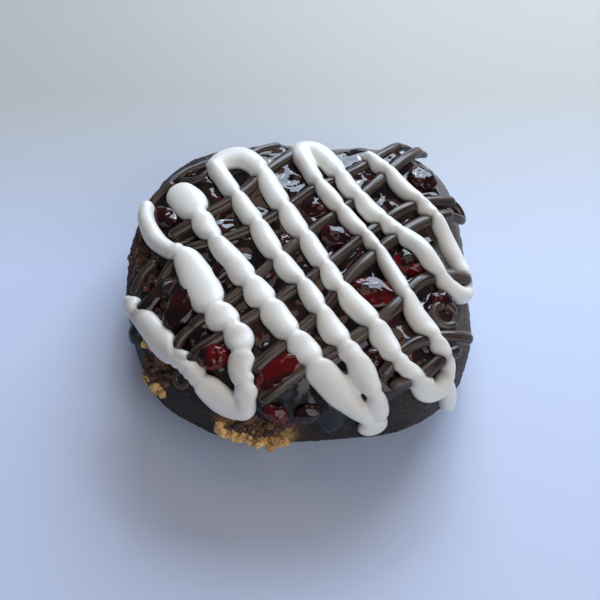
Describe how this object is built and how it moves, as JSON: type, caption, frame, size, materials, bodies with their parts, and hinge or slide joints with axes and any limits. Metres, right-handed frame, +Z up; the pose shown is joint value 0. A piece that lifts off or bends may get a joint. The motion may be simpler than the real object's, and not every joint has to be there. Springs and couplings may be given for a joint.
{
  "type": "black forest bun",
  "caption": "Iced black cocoa roll topped with cherry filling, whole cherries, dark chocolate strands and a piped white icing zigzag.",
  "frame": {"origin": "middle of the flat base, on the surface that the bun rests on", "axes": "+Z up, -Y towards the side with the torn crumb and the icing drip, +X to its right"},
  "size_m": [0.1162, 0.1154, 0.0493],
  "materials": {
    "cocoa_crust": "baked black cocoa dough crust, matte with a faint sheen, pale specks and torn brown crumb",
    "cherry_filling": "wet, very glossy dark red cherry gel",
    "dark_chocolate": "satin set dark chocolate strands with fine lengthwise streaks",
    "cherry": "wet glossy skin of dark red sour cherries",
    "white_icing": "smooth, softly glossy, set white sugar icing",
    "golden_crumb": "dry, rough golden brown sugar crumb"
  },
  "bodies": {
    "root": {"bun": "cocoa_crust", "cherry_filling": "cherry_filling", "white_icing": "white_icing", "cherry_01": "cherry", "cherry_02": "cherry", "cherry_03": "cherry", "cherry_04": "cherry", "cherry_05": "cherry", "cherry_06": "cherry", "cherry_07": "cherry", "cherry_08": "cherry", "cherry_09": "cherry", "cherry_10": "cherry", "cherry_11": "cherry", "cherry_12": "cherry", "cherry_13": "cherry", "cherry_14": "cherry", "cherry_15": "cherry", "cherry_16": "cherry"}
  },
  "joints": []
}
